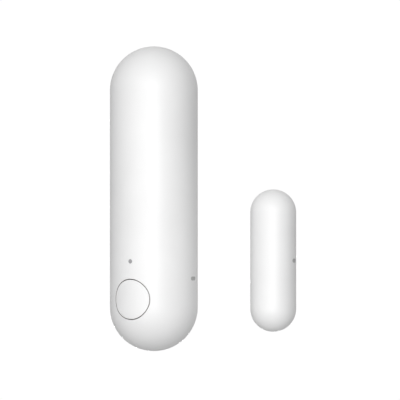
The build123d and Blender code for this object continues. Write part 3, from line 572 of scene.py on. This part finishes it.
def chip_resistors():
    """A white ceramic block with a black face and wrapped metal ends."""
    shapes = Shapes()
    face = 0.1 * MM
    for low, high in solids_in("chip_resistors"):
        shapes.block(low + Vector((0.06, 0.06, 0.02)) * MM, high - Vector((0.06, 0, 0.02)) * MM, 0.03 * MM, 2)
        top = Vector((low.x + 0.3 * MM, low.y + 0.01 * MM, low.z + 0.05 * MM))
        shapes.block(top, (high.x - 0.3 * MM, low.y + face, high.z - 0.05 * MM), 0.02 * MM, 0)
        ends(shapes, low, high, 0.28 * MM, 0.05 * MM, 1)
    materials = [resistor_body, solder_tin, resistor_ceramic]
    shapes.finish("resistors", "sensor_body", materials, "resistor", ["chip_resistors"])


def status_led():
    """A white base with metal ends and a clear yellow lens on its front."""
    low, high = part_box("status_led")
    shapes = Shapes()
    base_front = high.y - 0.35 * MM
    shapes.block((low.x, base_front, low.z), high, 0.04 * MM, 0)
    ends(shapes, Vector((low.x, base_front, low.z)), high, 0.25 * MM, 0.04 * MM, 1)
    inset = Vector((0.3, 0, 0.06)) * MM
    shapes.block(low + inset, (high.x - inset.x, base_front, high.z - inset.z), 0.09 * MM, 2)
    shapes.finish("led", "sensor_body", [led_body, solder_tin, led_lens], "led", ["status_led"])


def flat_package(name, node, pads_a_side, pitch, facing):
    """A square flat package: bevelled body, pads round its edge and a round dimple by pin one."""
    low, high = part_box(node)
    shapes = Shapes()
    shapes.block(low, high, 0.07 * MM, 0)
    middle = (low + high) / 2
    board_side = high.y if facing == FRONT else low.y
    pad = Vector((0.26, 0.2, 0.34)) * MM
    for side in (-1, 1):
        for k in range(pads_a_side):
            along = (k - (pads_a_side - 1) / 2) * pitch
            edge_x = middle.x + side * (high.x - low.x) / 2
            edge_z = middle.z + side * (high.z - low.z) / 2
            for x, z, half_x, half_z in (
                (edge_x - side * 0.14 * MM, middle.z + along, pad.z / 2, pad.x / 2),
                (middle.x + along, edge_z - side * 0.14 * MM, pad.x / 2, pad.z / 2),
            ):
                near, far = sorted((board_side, board_side + facing * pad.y))
                shapes.block((x - half_x, near, z - half_z), (x + half_x, far, z + half_z), 0.04 * MM, 1)
    outer = low.y if facing == FRONT else high.y
    corner = Vector((low.x + 0.6 * MM, outer + facing * 0.004 * MM, high.z - 0.6 * MM))
    shapes.turned(corner, (0, facing, 0), [(0, 0), (0.22 * MM, 0), (0.22 * MM, -0.02 * MM)], 2)
    shapes.finish(name, "sensor_body", [black_plastic, solder_tin, chip_mark], "dark_plastic", [node])


def voltage_regulator():
    """A small moulded body with three bent legs."""
    low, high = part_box("voltage_regulator")
    shapes = Shapes()
    leg_reach = 0.65 * MM
    body_low = Vector((low.x + leg_reach, low.y + 0.12 * MM, low.z))
    body_high = Vector((high.x - leg_reach, high.y, high.z))
    shapes.block(body_low, body_high, 0.1 * MM, 0)
    middle_z = (low.z + high.z) / 2
    for x_out, x_in, z in (
        (high.x, body_high.x, middle_z),
        (low.x, body_low.x, middle_z - 0.95 * MM),
        (low.x, body_low.x, middle_z + 0.95 * MM),
    ):
        side = 1 if x_out > x_in else -1
        half = 0.2 * MM
        bend = x_in + side * 0.28 * MM
        runs = (
            (x_out, bend - side * 0.1 * MM, low.y + 0.01 * MM, low.y + 0.16 * MM),
            (bend, bend - side * 0.14 * MM, low.y + 0.02 * MM, low.y + 0.6 * MM),
            (bend, x_in - side * 0.1 * MM, low.y + 0.46 * MM, low.y + 0.6 * MM),
        )
        for x0, x1, y0, y1 in runs:
            shapes.block((min(x0, x1), y0, z - half), (max(x0, x1), y1, z + half), 0.04 * MM, 1)
    shapes.finish(
        "regulator", "sensor_body", [black_plastic, solder_tin], "dark_plastic", ["voltage_regulator"]
    )


def crystal_can():
    """A ceramic tray with a metal lid and a seam-welded rim."""
    low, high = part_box("crystal")
    shapes = Shapes()
    lid = high.y - 0.22 * MM
    shapes.block(low, (high.x, lid, high.z), 0.12 * MM, 0)
    rim = Vector((0.16, 0, 0.16)) * MM
    shapes.block(Vector((low.x, lid - 0.05 * MM, low.z)) + rim, high - rim, 0.07 * MM, 1)
    shapes.finish("crystal_can", "sensor_body", [resistor_ceramic, shield_tin], "plated", ["crystal"])


def castellations():
    """Gold half-round edge pads on both long sides of the radio module, soldered to the board."""
    shapes = Shapes()
    pitch, count = 1.5 * MM, 7
    middle = (module_low.z + module_high.z) / 2
    for x, side in ((module_low.x, -1), (module_high.x, 1)):
        for k in range(count):
            z = middle + (k - (count - 1) / 2) * pitch
            pad_low = (min(x, x - side * 0.7 * MM), module_high.y - 0.02 * MM, z - 0.4 * MM)
            pad_high = (max(x, x - side * 0.7 * MM), module_high.y + 0.02 * MM, z + 0.4 * MM)
            shapes.block(pad_low, pad_high, 0.015 * MM, 0)
            fillet = [(0.52, 0), (0.3, 0.1), (0.16, 0.32), (0.1, 0.6), (0, 0.66)]
            profile = [(r * MM, h * MM) for r, h in fillet]
            shapes.turned((x + side * 0.02 * MM, board_high.y, z), (0, 1, 0), profile, 1, 16)
    shapes.finish("module_pads", "sensor_body", [gold_pad, solder_tin], "plated")


def ribbon(shapes, points, width, face, facing, height, material):
    """A flat strip through points (x, z) on a board's face, with round ends and corners."""
    near, far = sorted((face - facing * 0.01 * MM, face + facing * height))
    corner = [(width / 2, 0), (width / 2, far - near), (0, far - near)]
    for x, z in points:
        shapes.turned((x, near, z), (0, 1, 0), corner, material, 12)
    for (x0, z0), (x1, z1) in zip(points, points[1:]):
        run = Vector((x1 - x0, 0, z1 - z0))
        side = run.cross(Vector((0, 1, 0))).normalized() * width / 2
        shape = bmesh.new()
        start, stop = Vector((x0, 0, z0)), Vector((x1, 0, z1))
        corners = (start + side, stop + side, stop - side, start - side)
        levels = [[shape.verts.new(Vector((c.x, y, c.z))) for c in corners] for y in (near, far)]
        Shapes.join(shape, *levels)
        for level in levels:
            shape.faces.new(level)
        bmesh.ops.recalc_face_normals(shape, faces=shape.faces[:])
        shapes.take(shape, material)


def centre_of(name):
    low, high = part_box(name)
    return (low + high) / 2


def outline(low, high, margin):
    """A closed rectangle of points (x, z) round a box, a margin outside it."""
    x0, x1, z0, z1 = low.x - margin, high.x + margin, low.z - margin, high.z + margin
    return [(x0, z0), (x1, z0), (x1, z1), (x0, z1), (x0, z0)]


def board_rear_face():
    """Copper runs under the mask, stitching vias and plain printed outlines on the board's rear face."""
    face = board_high.y
    shapes = Shapes()
    foot_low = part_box("positive_contact")[0]
    regulator, reed = centre_of("voltage_regulator"), centre_of("reed_glass")
    module = centre_of("radio_module_board")
    lead_low, lead_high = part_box("reed_fixed_lead")[0].z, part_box("reed_moving_lead")[1].z
    antenna_low, antenna_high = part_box("antenna")
    feed = centre_of("antenna").x + (antenna_high.x - antenna_low.x) / 2 - 0.3 * MM
    left = board_low.x + 1.0 * MM
    foot_z = foot_low.z + 1.0 * MM
    under = module_low.z - 1.2 * MM
    gap = 0.9 * MM
    ground, power, supply, aerial, signal = 1.0, 0.6, 0.5, 0.4, 0.25  # widths of the runs
    rise, spread = 2.2 * MM, 2.6 * MM
    runs = [
        ([(left, foot_z), (left, under + gap), (left + gap, under), (regulator.x - 2.2 * MM, under),
          (regulator.x - 1.0 * MM, under - gap), (regulator.x - 1.0 * MM, regulator.z + gap)], power),
        ([(regulator.x + gap, regulator.z), (module_high.x + 1.6 * MM, regulator.z),
          (module_high.x + 1.6 * MM, module_low.z + 2.4 * MM), (module_high.x, module_low.z + gap)], supply),
        ([(reed.x, lead_high), (reed.x - 1.4 * MM, lead_high), (module_high.x + 0.4 * MM, module.z)], signal),
        ([(reed.x, lead_low), (reed.x - rise, lead_low - rise), (1.5 * MM, lead_low - rise),
          (0, regulator.z - 3 * MM), (0, regulator.z - gap)], signal),
        ([(feed, antenna_high.z), (feed, module_low.z)], aerial),
        ([(0, board_high.z - 1 * MM), (0, module_high.z)], ground),
        ([(spread, module_high.z), (spread, module_high.z + rise), (5 * MM, board_high.z - gap)], signal),
        ([(-spread, module_high.z), (-spread, module_high.z + rise), (-5 * MM, board_high.z - gap)], signal),
    ]
    for points, width in runs:
        ribbon(shapes, points, width * MM, face, REAR, 0.035 * MM, 0)
    taken = [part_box(n) for n in ("reed_glass", "radio_module_board", "positive_contact", "antenna")]
    taken += [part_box("voltage_regulator"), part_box("negative_contact"), *solids_in("chassis_screws")]
    via = [(0.34, -0.02), (0.34, 0.045), (0.16, 0.045), (0.13, -0.02)]
    via = [(r * MM, h * MM) for r, h in via]
    step = 2.45 * MM
    rows = int((board_high.z - board_low.z) / step)
    for row in range(rows):
        for column in range(-3, 4):
            x = column * step + random.uniform(-0.4, 0.4) * MM
            z = board_low.z + (row + 0.6) * step + random.uniform(-0.5, 0.5) * MM
            clear = all(
                not (low.x - gap < x < high.x + gap and low.z - gap < z < high.z + gap) for low, high in taken
            )
            inside = z > board_low.z + 4 * MM and abs(x) < board_high.x - 0.8 * MM
            if clear and inside and random.random() < 0.5:
                shapes.turned((x, face, z), (0, 1, 0), via, 1, 16)
    printed = [
        outline(module_low, module_high, 0.35 * MM),
        outline(*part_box("voltage_regulator"), 0.3 * MM),
        outline(*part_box("reed_glass"), 0.5 * MM),
    ]
    for points in printed:
        ribbon(shapes, points, 0.14 * MM, face, REAR, 0.02 * MM, 2)
    shapes.finish("board_copper", "sensor_body", [board_trace, gold_pad, print_white], "board")


def solder_joints():
    """Solder round every lead, leg and foot that the board holds."""
    shapes = Shapes()
    cone = [(0.75, -0.02), (0.72, 0.05), (0.45, 0.16), (0.32, 0.4), (0.27, 0.62), (0, 0.68)]
    cone = [(r * MM, h * MM) for r, h in cone]
    reed_x = centre_of("reed_glass").x
    lead_low, lead_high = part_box("reed_fixed_lead")[0].z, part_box("reed_moving_lead")[1].z
    for z in (lead_low + 0.25 * MM, lead_high - 0.25 * MM):
        shapes.turned((reed_x, board_low.y, z), (0, -1, 0), cone, 0)
        collar = [(r * 0.8, h * 0.5) for r, h in cone]
        shapes.turned((reed_x, board_high.y, z), (0, 1, 0), collar, 0)
    antenna_low, antenna_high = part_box("antenna")
    leg_x = antenna_high.x - 0.3 * MM
    for z in (antenna_low.z + 0.3 * MM, antenna_high.z - 0.3 * MM):
        shapes.turned((leg_x, board_high.y, z), (0, 1, 0), cone, 0)
    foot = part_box("positive_contact")[0]
    strip = 0.3 * MM
    pillow = 0.12 * MM
    face = board_high.y
    sunk, proud = face - 0.01 * MM, face + 0.24 * MM
    foot_corner = (foot.x + 2.5 * MM, proud, foot.z + 2.3 * MM)
    shapes.block((foot.x + strip, sunk, foot.z - 0.3 * MM), foot_corner, pillow, 0)
    tab_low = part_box("negative_contact")[0]
    half_tab = 1.85 * MM
    tab_corner = (half_tab, proud, tab_low.z + 2.2 * MM)
    shapes.block((-half_tab, sunk, tab_low.z - 0.35 * MM), tab_corner, pillow, 0)
    for low, high in solids_in("tact_switch_terminals"):
        middle = (low + high) / 2
        shapes.turned((middle.x, board_low.y, middle.z), (0, -1, 0), [(r, h * 0.45) for r, h in cone], 0)
    shapes.finish("solder_joints", "sensor_body", [solder_tin], "plated")


board_trace = moulded_plastic(
    "board_trace", (0.03, 0.22, 0.09), 0.32, grain=0.2, relief=0.004, Coat_Weight=0.35, Coat_Roughness=0.18
)
chip_capacitors()
chip_resistors()
status_led()
flat_package("processor", "microcontroller", 8, 0.5 * MM, FRONT)
flat_package("transceiver", "transceiver_chip", 6, 0.5 * MM, REAR)
voltage_regulator()
crystal_can()
castellations()
board_rear_face()
solder_joints()


# ---- Adhesive pads and foam ----
def round_ended(half_width, half_length, inset, turn=20, run=36):
    """Points (x, z) round a strip with round ends, moved in by an inset."""
    radius, straight = half_width - inset, half_length - half_width
    points = []
    for side in (1, -1):
        for k in range(turn):
            angle = math.pi * k / turn
            points.append((side * radius * math.cos(angle), side * (straight + radius * math.sin(angle))))
        for k in range(run):
            points.append((-side * radius, side * straight * (1 - 2 * k / run)))
    return points


def round_cornered(half_width, half_length, inset, corner=1.0 * MM, turn=8, run=14):
    """Points (x, z) round a rectangle with rounded corners, moved in by an inset."""
    radius = max(corner - inset, 0.15 * MM)
    x, z = half_width - inset - radius, half_length - inset - radius
    points = []
    for quarter, (corner_x, corner_z) in enumerate(((x, z), (-x, z), (-x, -z), (x, -z))):
        for k in range(turn):
            angle = math.pi / 2 * (quarter + k / turn)
            points.append((corner_x + radius * math.cos(angle), corner_z + radius * math.sin(angle)))
        to_x, to_z = ((-x, z), (-x, -z), (x, -z), (x, z))[quarter]
        out = Vector((math.cos(math.pi / 2 * (quarter + 1)), math.sin(math.pi / 2 * (quarter + 1)))) * radius
        for k in range(run):
            share = k / run
            points.append(
                (corner_x + (to_x - corner_x) * share + out.x, corner_z + (to_z - corner_z) * share + out.y)
            )
    return points


def foam_piece(name, node, shape, body, material, slot, waist, crown, rough):
    """A soft pad in its CAD solid's space: sides drawn in at the waist, crowned faces and uneven foam."""
    low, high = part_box(node)
    middle = (low + high) / 2
    half_width, half_length = (high.x - low.x) / 2, (high.z - low.z) / 2
    thick = high.y - low.y
    lip = 0.12 * thick
    levels = [(half_width * share, 1.0) for share in (0.96, 0.8, 0.6, 0.4, 0.22, 0.1)]
    levels += [(lip, 1.0), (lip * 0.3, 1 - 0.3 * lip / thick), (0, 1 - lip / thick)]
    top, steps = 1 - lip / thick, 6
    side = [
        (waist * math.sin(math.pi * k / steps), top - (1 - 2 * lip / thick) * k / steps)
        for k in range(1, steps)
    ]
    levels += side + [(inset, 1 - height) for inset, height in reversed(levels)]
    mesh = bmesh.new()
    rings = []
    for inset, height in levels:
        ring = []
        for x, z in shape(half_width, half_length, inset):
            place = Vector((x, 0, z))
            lump = noise.noise(place / (2.4 * MM)) * 0.6 + noise.noise(place / (0.7 * MM)) * 0.4
            near_edge = max(0.0, 1 - inset / (0.35 * half_width))
            sink = crown * near_edge**2 * thick
            level = height * thick
            level = level - sink if height > 0.5 else level + sink
            drawn = 1 - abs(lump) * rough / half_width if inset < 0.15 * half_width else 1.0
            ring.append(mesh.verts.new((middle.x + x * drawn, low.y + level, middle.z + z * drawn)))
        rings.append(ring)
    for first, second in zip(rings, rings[1:]):
        Shapes.join(mesh, first, second)
    for ring in (rings[0], rings[-1]):
        mesh.faces.new(ring)
    bmesh.ops.recalc_face_normals(mesh, faces=mesh.faces[:])
    shapes = Shapes()
    shapes.take(mesh, 0)
    made = shapes.finish(name, body, [material], slot, [node], sharp=60)
    return made


tape_foam = foam("tape_foam", (0.62, 0.62, 0.60), 0.22, 0.03, 0.72, skin=1.0)
dark_foam = foam("dark_foam", (0.035, 0.035, 0.038), 0.45, 0.1, 0.85, skin=0.25)
foam_piece("sensor_tape", "sensor_adhesive_pad", round_ended, "wall_plate", tape_foam, "adhesive_pad",
           0.1 * MM, 0.04, 0.05 * MM)
foam_piece("magnet_tape", "magnet_adhesive_pad", round_ended, "magnet", tape_foam, "adhesive_pad",
           0.1 * MM, 0.04, 0.05 * MM)
foam_piece("cell_foam", "cell_foam_pad", round_cornered, "wall_plate", dark_foam, "foam",
           0.14 * MM, 0.14, 0.08 * MM)

# ---- Stage, lights and camera ----
AZIMUTH = math.radians(32)
right = Vector((math.cos(AZIMUTH), math.sin(AZIMUTH), 0))
back = Vector((math.sin(AZIMUTH), -math.cos(AZIMUTH), 0))
up = Vector((0, 0, 1))

AIM_RIGHT, AIM_DOWN = 14.39 * MM, 0.39 * MM  # where the view is centred, from the sensor's axis
FRAME_WIDTH = 124.7 * MM
camera_data = bpy.data.cameras.new("camera")
camera_data.lens = 600
camera_data.sensor_width = 36
camera_data.clip_end = 50
camera = bpy.data.objects.new("camera", camera_data)
bpy.context.scene.collection.objects.link(camera)
aim = sensor_axis + right * AIM_RIGHT - up * AIM_DOWN
distance = FRAME_WIDTH * camera_data.lens / camera_data.sensor_width
camera.location = aim + back * distance
camera.rotation_mode = "QUATERNION"
camera.rotation_quaternion = (-back).to_track_quat("-Z", "Y")
bpy.context.scene.camera = camera


def sun(name, left_degrees, up_degrees, strength, spread):
    """A soft distant light, by its angles left of and above the main view."""
    data = bpy.data.lights.new(name, "SUN")
    data.energy = strength
    data.angle = math.radians(spread)
    lamp = bpy.data.objects.new(name, data)
    bpy.context.scene.collection.objects.link(lamp)
    left, rise = math.radians(left_degrees), math.radians(up_degrees)
    towards = (back * math.cos(left) - right * math.sin(left)) * math.cos(rise) + up * math.sin(rise)
    lamp.rotation_mode = "QUATERNION"
    lamp.rotation_quaternion = towards.to_track_quat("Z", "Y")
    return lamp


# Each lamp's angles left of and above the main view, strength and spread
SUNS = [
    ("key", -4, 6, 1.38, 20),
    ("high", 10, 30, 0.60, 60),
    ("side", 20, 5, 1.48, 60),
    ("rear", 180, -3, 0.9, 10),
]
for lamp in SUNS:
    sun(*lamp)

# The room's light: broad soft lobes from a few directions
LOBES = [
    (right - back, 0.21),
    (up - back, 0.50),
    (-up, 0.36),
    (-back, 0.42),
]
SEEN_BACKDROP = 1.02
world = bpy.data.worlds.new("studio")
bpy.context.scene.world = world
world.use_nodes = True
tree = world.node_tree
tree.nodes.clear()
direction = tree.nodes.new("ShaderNodeTexCoord").outputs["Generated"]
total = None
for towards, strength in LOBES:
    dot = tree.nodes.new("ShaderNodeVectorMath")
    dot.operation = "DOT_PRODUCT"
    dot.inputs[1].default_value = towards.normalized()
    tree.links.new(direction, dot.inputs[0])
    lobe = tree.nodes.new("ShaderNodeMapRange")
    lobe.inputs["To Max"].default_value = strength
    tree.links.new(dot.outputs["Value"], lobe.inputs["Value"])
    added = tree.nodes.new("ShaderNodeMath")
    added.inputs[0].default_value = 0
    if total is not None:
        tree.links.new(total, added.inputs[0])
    tree.links.new(lobe.outputs["Result"], added.inputs[1])
    total = added.outputs["Value"]
room = tree.nodes.new("ShaderNodeBackground")
tree.links.new(total, room.inputs["Strength"])
backdrop = tree.nodes.new("ShaderNodeBackground")
backdrop.inputs["Strength"].default_value = SEEN_BACKDROP
seen = tree.nodes.new("ShaderNodeLightPath").outputs["Is Camera Ray"]
either = tree.nodes.new("ShaderNodeMixShader")
world_output = tree.nodes.new("ShaderNodeOutputWorld")
for background in (room, backdrop):
    background.inputs["Color"].default_value = (1, 1, 1, 1)
tree.links.new(seen, either.inputs["Fac"])
tree.links.new(room.outputs["Background"], either.inputs[1])
tree.links.new(backdrop.outputs["Background"], either.inputs[2])
tree.links.new(either.outputs["Shader"], world_output.inputs["Surface"])
bpy.context.scene.view_settings.view_transform = "Standard"

# The floor, below the view: a round pale sheet that thins out towards its rim and is clear from below
FLOOR_DROP, FLOOR_RADIUS = 0.12, 1.5
FLOOR_GLOW = 0.42


def floor_material():
    s = Shader("floor_material", Emission_Color=(1, 1, 1, 1))
    x, y, z = s.place()
    tint = s.remap(s.noise(160, detail=3), 0.3, 0.7)
    s.colour(s.blend(tint, (0.80, 0.80, 0.79), (0.84, 0.84, 0.83)))
    s.roughness(s.remap(s.noise(30, detail=4), 0.3, 0.7, 0.55, 0.7))
    s.bump(s.noise(1.5, detail=4), 0.02)
    s.bsdf.inputs["Emission Strength"].default_value = FLOOR_GLOW
    s.material.cycles.emission_sampling = "NONE"
    distance = s.math("SQRT", s.math("ADD", s.math("MULTIPLY", x, x), s.math("MULTIPLY", y, y)), 0)
    rim = s.remap(distance, 0.6 * FLOOR_RADIUS / MM, 0.98 * FLOOR_RADIUS / MM)
    underside = s.tree.nodes.new("ShaderNodeNewGeometry").outputs["Backfacing"]
    unseen = s.math("MAXIMUM", rim, underside)
    clear = s.tree.nodes.new("ShaderNodeBsdfTransparent")
    thinned = s.tree.nodes.new("ShaderNodeMixShader")
    output = next(n for n in s.tree.nodes if n.type == "OUTPUT_MATERIAL")
    s.fill(thinned.inputs, (unseen, s.bsdf.outputs["BSDF"], clear.outputs["BSDF"]))
    s.link(thinned.outputs["Shader"], output.inputs["Surface"])
    return s.material


floor_mesh = bmesh.new()
bmesh.ops.create_circle(floor_mesh, cap_ends=True, radius=FLOOR_RADIUS, segments=96)
bmesh.ops.translate(floor_mesh, verts=floor_mesh.verts[:], vec=(0, 0, cad_box[0][2] - FLOOR_DROP))
floor_data = bpy.data.meshes.new("floor")
floor_mesh.to_mesh(floor_data)
floor_mesh.free()
floor_data.materials.append(floor_material())
floor = bpy.data.objects.new("floor", floor_data)
floor.visible_diffuse = floor.visible_glossy = floor.visible_shadow = False
bpy.context.scene.collection.objects.link(floor)
